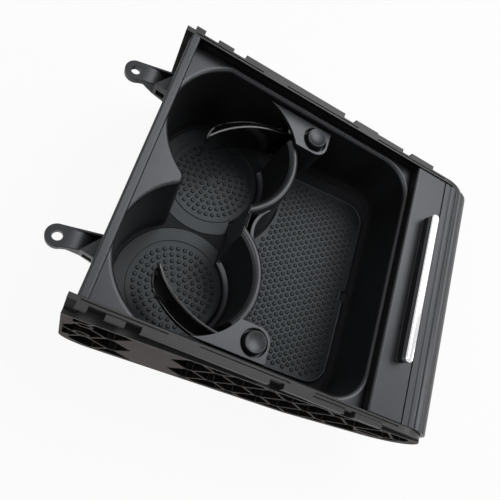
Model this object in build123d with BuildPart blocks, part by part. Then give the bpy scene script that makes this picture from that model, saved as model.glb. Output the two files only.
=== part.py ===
from build123d import *
import os
from math import atan2, cos, degrees, radians, sin, sqrt, tan

os.makedirs("parts", exist_ok=True)

# Driving dimensions in millimetres and degrees. The origin is midway between the tab holes, on top of the tabs.
# +X runs from the tabs to the nose, +Y to the left, +Z up. Side pieces are drawn on the right and mirrored.

# Front frame and its screw tabs
tab_hole_spacing = 104.8
tab_hole_diameter = 5.4
tab_end_radius = 6.0
tab_flare = 3.2
tab_plate = 3.6
tab_root_depth = 12.0
tab_waist = 2.4
tab_bend = 12.3
tab_scoop_start = 5.0
tab_scoop_radius = 17.0
tab_rim = 1.0
tab_reach = 20.4
frame_wall = 2.5
frame_drop = 40.0
strip_width = 5.4
screw_diameter = 3.0
screw_head_diameter = 6.0

# Track and cheeks
track_tilt = 6.0
lip_rise = 18.4
inner_width = 158.6
cheek_thickness = 2.9
cheek_web = 1.2
cheek_overhang = 3.8
cheek_band = 5.6
rail_depth = 10.0
nose_run = 206.5
nose_radius = 28.0
underside_slope = 20.0
base_drop = 75.0
base_corner = 20.0
lattice_flare = 5.8
lattice_flare_nose = 0.5
lattice_column = 14.65
lattice_height = 33.0
lattice_link = 4.3
lattice_rib = 1.2
lattice_turn = 7.0
lattice_x = 103.0
lattice_drop = 30.0
slit_width = 0.7
slit_depth = 0.9
groove_depth = 1.6
groove_width = 3.4
groove_cover = 1.2
pad_reach = 3.0
pad_thickness = 4.0
slot_length = 15.0
slot_height = 6.5

# Tray
deck_drop = 8.0
tray_wall = 2.2
tray_floor = 57.4
wall_draft = 2.0
cup_x = 67.7
cup_spacing = 77.6
well_radius = 40.0
side_half = 74.6
bin_end = 178.9
bin_corner = 18.0
deck_end = 203.0
rim_radius = 2.5
cusp_radius = 5.5
mat_recess = 1.4
tongue_length = 10.0

# Mats
cup_mat_radius = 37.8
cup_mat_thickness = 1.6
mat_ring_radius = 29.4
mat_ring_width = 0.6
bin_mat_thickness = 2.4
bin_mat_half = 65.5
bin_mat_end = 177.2
bin_mat_corner = 14.0
mat_notch = 7.0
mat_notch_depth = 2.5
mat_notch_y = -2.5
mat_gap = 0.3

# Divider
divider_foot_radius = 30.4
divider_base_radius = 46.0
divider_bead_radius = 39.0
divider_bead = 1.4
divider_round = 2.4
divider_chamfer = 4.0
divider_toe = 3.6
divider_toe_height = 2.6
divider_top = 8.0
divider_wall = 2.0
divider_outer_angle = 35.0
pillar_front = 87.6
pillar_top = 9.5
pillar_width = 28.0
pillar_chamfer = 1.7
bridge_top = 14.5
island_drop = 11.6
island_plate = 2.6
island_radius = 37.5
island_inner = 56.4
island_end = 121.1
island_corner = 8.0
island_side = 75.0
column_start = 103.1
column_bottom = 34.0

# Release buttons
button_x = 111.9
button_spacing = 131.6
button_diameter = 12.5
button_height = 12.2
button_proud = 3.4
button_skin = 3.2
button_travel = 3.0
button_recess = 15.6
button_moat = 4.0
guide_gap = 0.3
stem_diameter = 4.0
guide_floor = 22.0
button_wire = 0.9

# Sprung flaps
flap_pin_x = 98.1
flap_pin_spacing = 139.0
flap_top = 13.3
flap_bottom = 41.0
flap_floor = 23.8
flap_knuckle_radius = 3.4
flap_pin_diameter = 2.4
flap_skin = 1.2
flap_flange = 2.0
flap_lip = 4.1
flap_length = 46.1
flap_tip_reach = 28.1
flap_tip_width = 12.1
flap_wire = 0.8
running_gap = 0.05

# Shutter
shutter_travel = 157.0
panel_length = 22.2
panel_drop = 0.6
panel_thickness = 3.8
panel_gap = 0.5
tongue_drop = 1.8
tongue_thickness = 2.4
grip_length = 94.6
grip_width = 5.0
grip_setback = 13.6
grip_rise = 5.0
trim_height = 4.1
slat_pitch = 4.35
slat_groove = 0.9
slat_groove_depth = 1.1
curtain_thickness = 2.4
curtain_cover = 1.6
curtain_run = 56.0

# Derived positions
tilt = radians(track_tilt)
slope = radians(underside_slope)
half_inner = inner_width / 2
hole_y = tab_hole_spacing / 2
cup_y = cup_spacing / 2
button_y = button_spacing / 2
pin_y = flap_pin_spacing / 2
frame_inner = tab_reach + frame_wall
strip_inner = tab_reach + strip_width
cheek_left = tab_reach - cheek_overhang
cheek_outer = half_inner + cheek_thickness
track = Plane(origin=(0, 0, lip_rise), x_dir=(cos(tilt), 0, -sin(tilt)), z_dir=(sin(tilt), 0, cos(tilt)))
deck = track.offset(-deck_drop)
lead_run = strip_inner / cos(tilt) + tan(tilt) * panel_drop + 0.6 + shutter_travel
tray_top = 12.0
spread = (tray_top + tray_floor) * tan(radians(wall_draft))


def on_track(run: float, rise: float) -> tuple[float, float]:
    """X and Z of a point that lies run along the lips and rise above them."""
    return (run * cos(tilt) + rise * sin(tilt), lip_rise - run * sin(tilt) + rise * cos(tilt))


def track_z(x: float, rise: float) -> float:
    """Height at x of the plane that lies rise above the lips."""
    return lip_rise - x * tan(tilt) + rise / cos(tilt)


def nose_point(angle: float, inset: float) -> tuple[float, float]:
    """X and Z of a point on the nose, inset from its edge."""
    centre = on_track(nose_run, -nose_radius)
    reach = nose_radius - inset
    return (centre[0] + reach * cos(radians(angle)), centre[1] + reach * sin(radians(angle)))


nose_top = 90 - track_tilt
nose_low = underside_slope - 90
nose_middle = (nose_top + nose_low) / 2


def base_point(inset: float) -> tuple[float, float]:
    """X and Z where the sloping underside meets the flat base, both inset."""
    start = nose_point(nose_low, inset)
    drop = start[1] + base_drop - inset
    return (start[0] - drop / tan(slope), inset - base_drop)


def cheek_outline(inset: float) -> Sketch:
    """Face inside the cheek's edge, inset all round."""
    left = cheek_left + inset
    corner = (cheek_left + base_corner, base_corner - base_drop)
    bend = (base_corner - inset) / sqrt(2)
    with BuildSketch() as outline:
        with BuildLine():
            Line((left, track_z(left, -inset)), on_track(nose_run, -inset))
            ThreePointArc(on_track(nose_run, -inset), nose_point(nose_middle, inset), nose_point(nose_low, inset))
            Line(nose_point(nose_low, inset), base_point(inset))
            Line(base_point(inset), (corner[0], inset - base_drop))
            ThreePointArc((corner[0], inset - base_drop), (corner[0] - bend, corner[1] - bend), (left, corner[1]))
            Line((left, corner[1]), (left, track_z(left, -inset)))
        make_face()
    return outline.sketch


def shutter_path(inset: float, start: float, run: float) -> Wire:
    """Path of the shutter from a point on the track, round the nose and along the base."""
    with BuildLine() as path:
        Line(on_track(start, -inset), on_track(nose_run, -inset))
        ThreePointArc(on_track(nose_run, -inset), nose_point(nose_middle, inset), nose_point(nose_low, inset))
        Line(nose_point(nose_low, inset), base_point(inset))
        Line(base_point(inset), (base_point(inset)[0] - run, base_point(inset)[1]))
    return path.wire()


def bin_outline(grow: float, half: float) -> Sketch:
    """Face of the straight-sided part of the tray's hollow."""
    end = bin_end + grow
    bend = bin_corner + grow
    short = bend * (1 - 1 / sqrt(2))
    with BuildSketch() as outline:
        with BuildLine():
            Line((cup_x, -half), (end - bend, -half))
            ThreePointArc((end - bend, -half), (end - short, short - half), (end, bend - half))
            Line((end, bend - half), (end, half - bend))
            ThreePointArc((end, half - bend), (end - short, half - short), (end - bend, half))
            Line((end - bend, half), (cup_x, half))
            Line((cup_x, half), (cup_x, -half))
        make_face()
    return outline.sketch


def tub(grow: float) -> Part:
    """Solid in the shape of the tray's hollow, with every wall and the floor moved out by grow."""
    floor = -tray_floor - grow
    with BuildPart() as body:
        with Locations((cup_x, cup_y, floor), (cup_x, -cup_y, floor)):
            Cone(
                bottom_radius=well_radius + grow,
                top_radius=well_radius + grow + spread,
                height=tray_top - floor,
                align=(Align.CENTER, Align.CENTER, Align.MIN),
            )
        cusp = body.edges().filter_by_position(Axis.Y, -0.1, 0.1).sort_by(Axis.X)[0]
        fillet(cusp, radius=cusp_radius - grow)
        with BuildSketch(Plane.XY.offset(floor)):
            add(bin_outline(grow, side_half + grow))
        with BuildSketch(Plane.XY.offset(tray_top)):
            add(bin_outline(grow + spread, side_half + grow + spread))
        loft()
        with BuildSketch(Plane.XY.offset(floor)):
            Rectangle(2 * bin_end + 100, 2 * (side_half + grow))
        with BuildSketch(Plane.XY.offset(tray_top)):
            Rectangle(2 * bin_end + 100, 2 * (side_half + grow + spread))
        loft(mode=Mode.INTERSECT)
    return body.part


def cup_mat_outline(grow: float) -> Sketch:
    """Face of the left cup mat, trimmed where the divider stands, with its edge moved out by grow."""
    edge = pillar_front - mat_gap - cup_x
    end = tan(radians(divider_outer_angle + 2))
    with BuildSketch() as outline:
        with Locations((cup_x, cup_y)):
            Circle(cup_mat_radius + grow)
            Polygon(
                (edge + grow, -2 * well_radius),
                (2 * well_radius, -2 * well_radius),
                (2 * well_radius, 2 * well_radius * end - 1.3 * grow),
                (edge + grow, edge * end - 1.3 * grow),
                align=None,
                mode=Mode.SUBTRACT,
            )
            Circle(divider_foot_radius - mat_gap + grow)
        with Locations((cup_x, 0)):
            Rectangle(4 * well_radius, 2 * (side_half - mat_gap + grow), mode=Mode.INTERSECT)
    return outline.sketch


# Tray: deck, two wells and the bin in one moulding, with tongues that snap into the cheeks
deck_start = (frame_inner + 0.3 + (deck_drop + tray_wall) * sin(tilt)) / cos(tilt)
deck_length = deck_end - deck_start
tongue_runs = (48.0, 100.0, 150.0)
with BuildPart() as tray:
    with BuildSketch(deck):
        with Locations((deck_start + deck_length / 2, 0)):
            Rectangle(deck_length, inner_width)
    extrude(amount=-tray_wall)
    add(tub(tray_wall))
    split(bisect_by=deck, keep=Keep.BOTTOM)
    add(tub(0), mode=Mode.SUBTRACT)
    deck_face = tray.faces().filter_by(Axis((0, 0, 0), (sin(tilt), 0, cos(tilt)))).sort_by(SortBy.AREA)[-1]
    fillet(deck_face.inner_wires()[0].edges(), radius=rim_radius)
    with BuildSketch(Plane.XY.offset(-tray_floor)):
        add(cup_mat_outline(mat_gap))
        mirror(about=Plane.XZ)
    extrude(amount=-mat_recess, mode=Mode.SUBTRACT)
    with Locations((bin_end, mat_notch_y, -tray_floor)):
        Box(2.6, mat_notch, 4.0, align=(Align.CENTER, Align.CENTER, Align.MIN), mode=Mode.SUBTRACT)
    with BuildSketch(deck):
        for run in tongue_runs:
            with Locations((run, 0)):
                Rectangle(tongue_length, inner_width + 2 * cheek_thickness - 0.6)
        Rectangle(2 * deck_end, inner_width - 1.0, mode=Mode.SUBTRACT)
    extrude(amount=-tray_wall)
tray.part.label = "tray"
export_step(tray.part, "parts/tray.step")

# Front frame: end wall, raised strip, flanges for the screws and the two tabs
screw_heights = (-6.0, -32.0)
flange_length = 11.0
screw_x = frame_inner + flange_length / 2
with BuildPart() as front_frame:
    with BuildSketch(Plane.XZ):
        with BuildLine():
            Polyline(
                (tab_reach, -frame_drop),
                (frame_inner, -frame_drop),
                (frame_inner, track_z(frame_inner, -deck_drop)),
                (strip_inner, track_z(strip_inner, -deck_drop)),
                (strip_inner, track_z(strip_inner, 0)),
                (tab_reach, track_z(tab_reach, 0)),
                close=True,
            )
        make_face()
    extrude(amount=half_inner, both=True)
    top_edges = front_frame.edges().filter_by(Axis.Y).sort_by(Axis.Z)[-2:]
    fillet(top_edges, radius=1.2)
    for side in (1, -1):
        with Locations((screw_x, side * (half_inner - 1.5), (screw_heights[0] + screw_heights[1]) / 2)):
            Box(flange_length, 3.0, screw_heights[0] - screw_heights[1] + 10)
    for height in screw_heights:
        with BuildSketch(Plane.XZ):
            with Locations((screw_x, height)):
                Circle(screw_diameter / 2)
        extrude(amount=half_inner + 5, both=True, mode=Mode.SUBTRACT)
    for y in (hole_y, -hole_y):
        with BuildPart(mode=Mode.PRIVATE) as tab:
            with BuildSketch(Plane.XZ.offset(-y)):
                with BuildLine():
                    Polyline(
                        (-tab_end_radius, 0),
                        (tab_reach, 0),
                        (tab_reach, -tab_root_depth),
                        (tab_bend, 1.0 - tab_root_depth),
                        (tab_end_radius, -tab_plate),
                        (-tab_end_radius, -tab_plate),
                        close=True,
                    )
                make_face()
            extrude(amount=4 * tab_end_radius, both=True)
            with BuildSketch(Plane.XY.offset(-tab_root_depth)):
                with Locations((0, y)):
                    Circle(tab_end_radius)
                with BuildLine():
                    Polyline(
                        (0, y - tab_end_radius),
                        (tab_bend, y - tab_waist),
                        (tab_reach, y - tab_waist - 1.6),
                        (tab_reach, y + tab_end_radius + tab_flare),
                        (0, y + tab_end_radius),
                        close=True,
                    )
                make_face()
            extrude(amount=tab_root_depth, mode=Mode.INTERSECT)
            with BuildPart(mode=Mode.PRIVATE) as scoop:
                with BuildSketch(Plane.XZ.offset(-y)):
                    with Locations((tab_scoop_start + tab_reach, 0)):
                        Rectangle(2 * tab_reach, 2 * tab_reach)
                    with Locations((tab_scoop_start, -tab_scoop_radius)):
                        Circle(tab_scoop_radius, mode=Mode.SUBTRACT)
                extrude(amount=4 * tab_end_radius, both=True)
                with BuildSketch(Plane.XY.offset(-tab_root_depth)):
                    with BuildLine():
                        Polyline(
                            (tab_scoop_start, y - 2 * tab_end_radius),
                            (tab_bend, y - 2 * tab_end_radius),
                            (tab_bend, y - tab_waist),
                            (tab_reach, y + tab_end_radius + tab_flare - tab_rim),
                            (tab_scoop_start, y + tab_end_radius + tab_flare * tab_scoop_start / tab_reach - tab_rim),
                            close=True,
                        )
                    make_face()
                extrude(amount=2 * tab_root_depth, mode=Mode.INTERSECT)
            add(scoop.part, mode=Mode.SUBTRACT)
            with Locations((0, y, -tab_plate / 2)):
                Cylinder(tab_hole_diameter / 2, 4 * tab_plate, mode=Mode.SUBTRACT)
            with Locations((tab_reach - 3.8, y - tab_waist - 1.6, -tab_root_depth / 2 - 1.2)):
                Box(5.0, 7.0, 4.6, mode=Mode.SUBTRACT)
        add(tab.part)
front_frame.part.label = "front_frame"
export_step(front_frame.part, "parts/front_frame.step")

# Right cheek: lip, shutter groove, clip pads and lattice
pads = ((21.5, 5.7, 0.0), (35.9, 9.8, 0.8), (53.5, 69.6, 0.0), (131.4, 17.2, 0.0), (148.6, 21.0, 1.0), (176.1, 18.0, 0.4))
slits = ((22.7, 66.0), (82.6, 134.2), (149.5, 204.0))
columns = (-6, -5, -4, -1, 0, 1, 2, 3, 4, 5, 6, 7, 8)
cell_lean = (lattice_column - lattice_link) / (lattice_height / 2)
cell_inset = lattice_rib / 2 * sqrt(1 + cell_lean**2)
cell_tip = lattice_column - lattice_link / 2 - cell_inset
cell_top = lattice_height / 2 - lattice_rib / 2
cell_link = lattice_link / 2 + cell_lean * lattice_rib / 2 - cell_inset
flare_slope = (lattice_flare - lattice_flare_nose) / (nose_run + nose_radius)
flare_plane = Plane(
    origin=(cheek_left, -cheek_outer - lattice_flare, 0),
    x_dir=(1, flare_slope, 0),
    z_dir=(flare_slope, -1, 0),
)
with BuildPart() as right_cheek:
    with BuildSketch(Plane.XZ.offset(half_inner)):
        add(cheek_outline(0))
    extrude(amount=cheek_thickness)
    with BuildSketch(Plane.XZ.offset(cheek_outer)):
        add(cheek_outline(0))
        with BuildLine():
            Polyline(
                on_track(-50, 50),
                on_track(350, 50),
                on_track(350, -rail_depth),
                on_track(-50, -rail_depth),
                close=True,
            )
        make_face(mode=Mode.SUBTRACT)
    extrude(amount=lattice_flare)
    split(bisect_by=flare_plane, keep=Keep.BOTTOM)
    with BuildSketch(Plane.XZ.offset(half_inner + cheek_web)) as cells:
        with Locations(Location((lattice_x, -lattice_drop, 0), (0, 0, lattice_turn))):
            for column in columns:
                with Locations((column * lattice_column, column % 2 * lattice_height / 2)):
                    with GridLocations(1, lattice_height, 1, 5):
                        Polygon(
                            (cell_tip, 0),
                            (cell_link, cell_top),
                            (-cell_link, cell_top),
                            (-cell_tip, 0),
                            (-cell_link, -cell_top),
                            (cell_link, -cell_top),
                            align=None,
                        )
        with BuildSketch(mode=Mode.INTERSECT):
            add(cheek_outline(cheek_band))
            with Locations((cheek_left + 1.6, -base_drop / 2 + 6.0)):
                Rectangle(2 * cheek_band, 34.0, align=(Align.MIN, Align.CENTER))
        with BuildLine():
            Polyline(
                on_track(-50, 50),
                on_track(350, 50),
                on_track(350, -rail_depth - 1.6),
                on_track(-50, -rail_depth - 1.6),
                close=True,
            )
        make_face(mode=Mode.SUBTRACT)
        with Locations((nose_point(0, nose_radius)[0] + 6, nose_point(-90, nose_radius - 12)[1])):
            SlotOverall(slot_length + 4, slot_height + 4, mode=Mode.SUBTRACT)
        with Locations((screw_x, screw_heights[0]), (screw_x, screw_heights[1])):
            Circle(screw_head_diameter / 2 + 1.6, mode=Mode.SUBTRACT)
    extrude(amount=cheek_thickness + lattice_flare, mode=Mode.SUBTRACT)
    with BuildSketch(Plane.XZ.offset(half_inner)):
        with Locations((nose_point(0, nose_radius)[0] + 6, nose_point(-90, nose_radius - 12)[1])):
            SlotOverall(slot_length, slot_height)
    extrude(amount=2 * cheek_thickness + lattice_flare, mode=Mode.SUBTRACT)
    with BuildSketch(Plane.XZ.offset(half_inner)):
        groove = shutter_path(groove_cover + groove_width / 2, strip_inner / cos(tilt), curtain_run + 4)
        trace(groove, line_width=groove_width)
    extrude(amount=groove_depth, mode=Mode.SUBTRACT)
    for start, length, low in pads:
        with BuildSketch(track.offset(-low)):
            with Locations((start + length / 2, -cheek_outer - pad_reach / 2)):
                Rectangle(length, pad_reach)
        extrude(amount=-pad_thickness)
    with BuildSketch(track):
        for start, end in slits:
            with Locations(((start + end) / 2, -half_inner - cheek_thickness / 2)):
                Rectangle(end - start, slit_width)
    extrude(amount=-slit_depth, mode=Mode.SUBTRACT)
    with BuildSketch(Plane.YZ.offset(cheek_left)):
        with BuildLine():
            Polyline(
                (-cheek_outer, track_z(cheek_left, -2)),
                (-cheek_outer, track_z(cheek_left, -24)),
                (-cheek_outer - lattice_flare, track_z(cheek_left, -24)),
                (-cheek_outer - lattice_flare, track_z(cheek_left, -16)),
                close=True,
            )
        make_face()
    extrude(amount=6.0)
    with BuildSketch(deck):
        for run in tongue_runs:
            with Locations((run, -half_inner - cheek_thickness / 2)):
                Rectangle(tongue_length + 0.6, 2 * cheek_thickness)
    extrude(amount=-tray_wall - 0.3, mode=Mode.SUBTRACT)
    with BuildSketch(Plane.XZ.offset(half_inner)):
        with Locations((screw_x, screw_heights[0]), (screw_x, screw_heights[1])):
            Circle(screw_diameter / 2 + 0.15)
    extrude(amount=2 * lattice_flare, mode=Mode.SUBTRACT)
    with BuildSketch(Plane.XZ.offset(half_inner + 2.0)):
        with Locations((screw_x, screw_heights[0]), (screw_x, screw_heights[1])):
            Circle(screw_head_diameter / 2 + 0.3)
    extrude(amount=2 * lattice_flare, mode=Mode.SUBTRACT)
right_cheek.part.label = "right_cheek"
export_step(right_cheek.part, "parts/right_cheek.step")

with BuildPart() as left_cheek:
    mirror(right_cheek.part, about=Plane.XZ)
left_cheek.part.label = "left_cheek"
export_step(left_cheek.part, "parts/left_cheek.step")

# Four screws that hold the cheeks to the flanges of the front frame
with BuildPart() as frame_screws:
    for side in (1, -1):
        for height in screw_heights:
            with BuildSketch(Plane.XZ.offset(-side * (half_inner + 2.0))):
                with Locations((screw_x, height)):
                    Circle(screw_head_diameter / 2)
            extrude(amount=-side * 2.2)
            with BuildSketch(Plane.XZ.offset(-side * (half_inner + 2.0))):
                with Locations((screw_x, height)):
                    Circle(screw_diameter / 2 - 0.02)
            extrude(amount=side * 6.4)
            with BuildSketch(Plane.XZ.offset(-side * (half_inner + 4.2))):
                with Locations((screw_x, height)):
                    Rectangle(3.4, 0.8)
                    Rectangle(0.8, 3.4)
            extrude(amount=side * 1.2, mode=Mode.SUBTRACT)
frame_screws.part.label = "frame_screws"
export_step(frame_screws.part, "parts/frame_screws.step")

# Divider: two curved walls on a pillar, with an island at each side for its button and its flap
floor_z = -tray_floor
bead_z = -divider_top
cap_r = divider_bead_radius
cap_out = cap_r + divider_bead
cap_in = cap_r - divider_chamfer
round_r = cap_out - divider_round
round_z = bead_z - divider_round
slant = divider_round / sqrt(2)
chamfer_z = round_z + slant - (round_r - slant - cap_in)
sweep_start = -70.0
guide_top = track_z(button_x, -island_drop)
with BuildPart() as divider:
    for side in (1, -1):
        axis = Axis((cup_x, side * cup_y, 0), (0, 0, 1))
        aim = radians(side * divider_outer_angle)
        face = Plane(
            origin=(cup_x, side * cup_y, 0),
            x_dir=(cos(aim), sin(aim), 0),
            z_dir=(sin(aim), -cos(aim), 0),
        )
        with BuildSketch(face):
            with BuildLine():
                Polyline(
                    (cap_out, round_z),
                    (divider_base_radius, floor_z),
                    (divider_foot_radius, floor_z),
                    (divider_foot_radius, floor_z + 0.4),
                )
                ThreePointArc(
                    (divider_foot_radius, floor_z + 0.4),
                    (divider_foot_radius + 0.22 * divider_toe, floor_z + 0.68 * divider_toe_height),
                    (divider_foot_radius + divider_toe, floor_z + divider_toe_height),
                )
                Polyline(
                    (divider_foot_radius + divider_toe, floor_z + divider_toe_height),
                    (cap_in, chamfer_z),
                    (round_r - slant, round_z + slant),
                )
                ThreePointArc((round_r - slant, round_z + slant), (round_r, bead_z), (cap_out, round_z))
            make_face()
        revolve(axis=axis, revolution_arc=-side * (divider_outer_angle - sweep_start))
    with Locations((0, 0, floor_z)):
        Box(2 * pillar_front, 200, 200, mode=Mode.SUBTRACT)
    with BuildPart(mode=Mode.PRIVATE) as pillar:
        with Locations((pillar_front, 0, floor_z)):
            Box(
                divider_wall,
                pillar_width,
                tray_floor - pillar_top,
                align=(Align.MIN, Align.CENTER, Align.MIN),
            )
        chamfer(pillar.edges().filter_by(Axis.Y).group_by(Axis.Z)[-1].sort_by(Axis.X)[0], length=pillar_chamfer)
    add(pillar.part)
    bridge_y = 13.8
    bridge_x = cup_x + sqrt((cap_r + divider_bead) ** 2 - (cup_y - bridge_y) ** 2)
    with BuildSketch(Plane.XY.offset(floor_z)):
        with BuildLine():
            ThreePointArc((bridge_x, -bridge_y), (bridge_x - 6.3, 0), (bridge_x, bridge_y))
            Line((bridge_x, bridge_y), (bridge_x + divider_wall, bridge_y))
            ThreePointArc(
                (bridge_x + divider_wall, bridge_y),
                (bridge_x - 6.3 + divider_wall, 0),
                (bridge_x + divider_wall, -bridge_y),
            )
            Line((bridge_x + divider_wall, -bridge_y), (bridge_x, -bridge_y))
        make_face()
    extrude(amount=tray_floor - bridge_top)
    for side in (1, -1):
        toe_radius = divider_foot_radius + divider_toe
        rise = chamfer_z - floor_z - divider_toe_height
        lean = (cap_in - toe_radius) / rise
        with Locations((cup_x, side * cup_y, floor_z + divider_toe_height)):
            Cone(
                bottom_radius=toe_radius,
                top_radius=toe_radius + lean * (rise + 20),
                height=rise + 20,
                align=(Align.CENTER, Align.CENTER, Align.MIN),
                mode=Mode.SUBTRACT,
            )
        with Locations((cup_x, side * cup_y, floor_z - 1)):
            Cylinder(
                divider_foot_radius,
                10,
                align=(Align.CENTER, Align.CENTER, Align.MIN),
                mode=Mode.SUBTRACT,
            )
    for side in (1, -1):
        axis = Axis((cup_x, side * cup_y, 0), (0, 0, 1))
        aim = radians(side * (divider_outer_angle - 4))
        face = Plane(
            origin=(cup_x, side * cup_y, 0),
            x_dir=(cos(aim), sin(aim), 0),
            z_dir=(sin(aim), -cos(aim), 0),
        )
        with BuildSketch(face):
            with BuildLine():
                Polyline(
                    (divider_base_radius - divider_wall, floor_z - 1),
                    (divider_foot_radius + divider_toe + divider_wall, floor_z - 1),
                    (divider_foot_radius + divider_toe + divider_wall, floor_z + divider_toe_height),
                    (cap_r - 0.6, bead_z - 9.0),
                    (cap_r + 0.2, bead_z - 9.0),
                    close=True,
                )
            make_face()
        revolve(axis=axis, revolution_arc=-side * (divider_outer_angle - 4 + 44), mode=Mode.SUBTRACT)
    for side in (1, -1):
        reach = sqrt(island_radius**2 - (island_side - cup_y) ** 2)
        near = sqrt(island_radius**2 - (island_inner - cup_y) ** 2)
        middle = sqrt(island_radius**2 - ((island_inner + island_side) / 2 - cup_y) ** 2)
        short = island_corner * (1 - 1 / sqrt(2))
        with BuildSketch(Plane.XY.offset(-column_bottom)) as island:
            with BuildLine():
                ThreePointArc(
                    (cup_x + reach, side * island_side),
                    (cup_x + middle, side * (island_inner + island_side) / 2),
                    (cup_x + near, side * island_inner),
                )
                Line((cup_x + near, side * island_inner), (island_end - island_corner, side * island_inner))
                ThreePointArc(
                    (island_end - island_corner, side * island_inner),
                    (island_end - short, side * (island_inner + short)),
                    (island_end, side * (island_inner + island_corner)),
                )
                Line((island_end, side * (island_inner + island_corner)), (island_end, side * island_side))
                Line((island_end, side * island_side), (cup_x + reach, side * island_side))
            make_face()
        with BuildPart(mode=Mode.PRIVATE) as island_body:
            add(island.sketch)
            extrude(amount=column_bottom + 5)
            split(bisect_by=track.offset(-island_drop), keep=Keep.BOTTOM)
            with BuildPart(mode=Mode.PRIVATE) as under_wing:
                Box(2 * column_start, 400, 200)
                split(bisect_by=track.offset(-island_drop - island_plate), keep=Keep.BOTTOM)
            add(under_wing.part, mode=Mode.SUBTRACT)
            with BuildSketch(Plane.XY.offset(-column_bottom)):
                with Locations((column_start + divider_wall, side * island_side)):
                    Rectangle(
                        island_end - column_start - 2 * divider_wall,
                        2 * (island_side - island_inner - divider_wall),
                        align=(Align.MIN, Align.CENTER),
                    )
                Rectangle(400, 2 * island_side + 100, mode=Mode.INTERSECT)
            extrude(amount=column_bottom + guide_top - island_plate - 0.6, mode=Mode.SUBTRACT)
            web_end = radians(divider_outer_angle)
            web_start = radians(divider_outer_angle - 8)
            with BuildSketch(Plane.XY.offset(-column_bottom)):
                with BuildLine():
                    Polyline(
                        (cup_x + cap_r * cos(web_end), side * (cup_y + cap_r * sin(web_end))),
                        (cup_x + cap_r * cos(web_start), side * (cup_y + cap_r * sin(web_start))),
                        (column_start + 2 * divider_wall, side * (island_inner + divider_wall)),
                        (column_start + 2 * divider_wall, side * (island_inner + 3 * divider_wall)),
                        close=True,
                    )
                make_face()
            extrude(amount=column_bottom + bead_z - 2.0)
            with Locations((button_x, side * button_y, -guide_floor - 2.0)):
                Cylinder(
                    button_recess / 2 + 1.0,
                    guide_floor + 2.0 + guide_top - island_plate,
                    align=(Align.CENTER, Align.CENTER, Align.MIN),
                )
            with BuildSketch(Plane.XY.offset(-flap_bottom - 3.4)):
                with Locations((flap_pin_x, side * pin_y)):
                    Circle(flap_knuckle_radius + 0.6)
                with Locations((flap_pin_x, side * pin_y)):
                    Rectangle(
                        column_start + divider_wall - flap_pin_x,
                        2 * flap_knuckle_radius + 1.2,
                        align=(Align.MIN, Align.CENTER),
                    )
            extrude(amount=3.0)
            with BuildSketch(Plane.XY.offset(-flap_bottom - 3.4)):
                with Locations((column_start, side * pin_y)):
                    Rectangle(divider_wall, 2 * flap_knuckle_radius + 1.2, align=(Align.MIN, Align.CENTER))
            extrude(amount=flap_bottom + 3.4 - column_bottom + 4)
            with Locations((flap_pin_x, side * pin_y, track_z(flap_pin_x, -island_drop) - 1.4)):
                Cylinder(
                    flap_pin_diameter / 2 + 0.01,
                    80,
                    align=(Align.CENTER, Align.CENTER, Align.MAX),
                    mode=Mode.SUBTRACT,
                )
            with Locations((button_x, side * button_y, -guide_floor)):
                Cylinder(
                    button_diameter / 2 + guide_gap,
                    60,
                    align=(Align.CENTER, Align.CENTER, Align.MIN),
                    mode=Mode.SUBTRACT,
                )
            with Locations((button_x, side * button_y, guide_top - button_moat)):
                Cylinder(
                    button_recess / 2,
                    20,
                    align=(Align.CENTER, Align.CENTER, Align.MIN),
                    mode=Mode.SUBTRACT,
                )
            with Locations((button_x, side * button_y, -guide_floor)):
                Cylinder(stem_diameter / 2 + 0.2, 20, mode=Mode.SUBTRACT)
        add(island_body.part)
divider.part.label = "divider"
export_step(divider.part, "parts/divider.step")

# Right release button: dished cap, hollow underneath, and a stem with a snap head below the guide
cap_top = guide_top + button_proud
cap_bottom = cap_top - button_height
ceiling = cap_top - button_skin
dish = 14.0
with BuildPart() as right_release_button:
    with Locations((button_x, -button_y, cap_bottom)):
        Cylinder(button_diameter / 2, button_height, align=(Align.CENTER, Align.CENTER, Align.MIN))
    fillet(right_release_button.edges().filter_by(GeomType.CIRCLE).sort_by(Axis.Z)[-1], radius=1.2)
    with Locations((button_x, -button_y, cap_top + dish - 1.3)):
        Sphere(dish, mode=Mode.SUBTRACT)
    with Locations((button_x, -button_y, cap_bottom)):
        Cylinder(
            4.6,
            button_height - button_skin,
            align=(Align.CENTER, Align.CENTER, Align.MIN),
            mode=Mode.SUBTRACT,
        )
    with Locations((button_x, -button_y, ceiling)):
        Cylinder(stem_diameter / 2, ceiling + guide_floor + 4.6, align=(Align.CENTER, Align.CENTER, Align.MAX))
    with Locations((button_x, -button_y, -guide_floor - 2.3)):
        Cone(
            bottom_radius=stem_diameter / 2,
            top_radius=stem_diameter / 2 + 0.7,
            height=2.3,
            align=(Align.CENTER, Align.CENTER, Align.MAX),
        )
right_release_button.part.label = "right_release_button"
export_step(right_release_button.part, "parts/right_release_button.step")

with BuildPart() as left_release_button:
    mirror(right_release_button.part, about=Plane.XZ)
left_release_button.part.label = "left_release_button"
export_step(left_release_button.part, "parts/left_release_button.step")

# Coil springs under the buttons
coil_radius = 3.4
coil_low = -guide_floor + button_wire / 2
coil_high = ceiling - button_wire / 2
coil_pitch = (coil_high - coil_low) / 5
with BuildPart() as right_button_spring:
    with BuildLine():
        coil = Helix(
            pitch=coil_pitch,
            height=coil_high - coil_low,
            radius=coil_radius,
            center=(button_x, -button_y, coil_low),
        )
    with BuildSketch(Plane(origin=coil @ 0, z_dir=coil % 0)):
        Circle(button_wire / 2 - 0.01)
    sweep(path=coil, is_frenet=True)
right_button_spring.part.label = "right_button_spring"
export_step(right_button_spring.part, "parts/right_button_spring.step")

with BuildPart() as left_button_spring:
    mirror(right_button_spring.part, about=Plane.XZ)
left_button_spring.part.label = "left_button_spring"
export_step(left_button_spring.part, "parts/left_button_spring.step")

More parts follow.
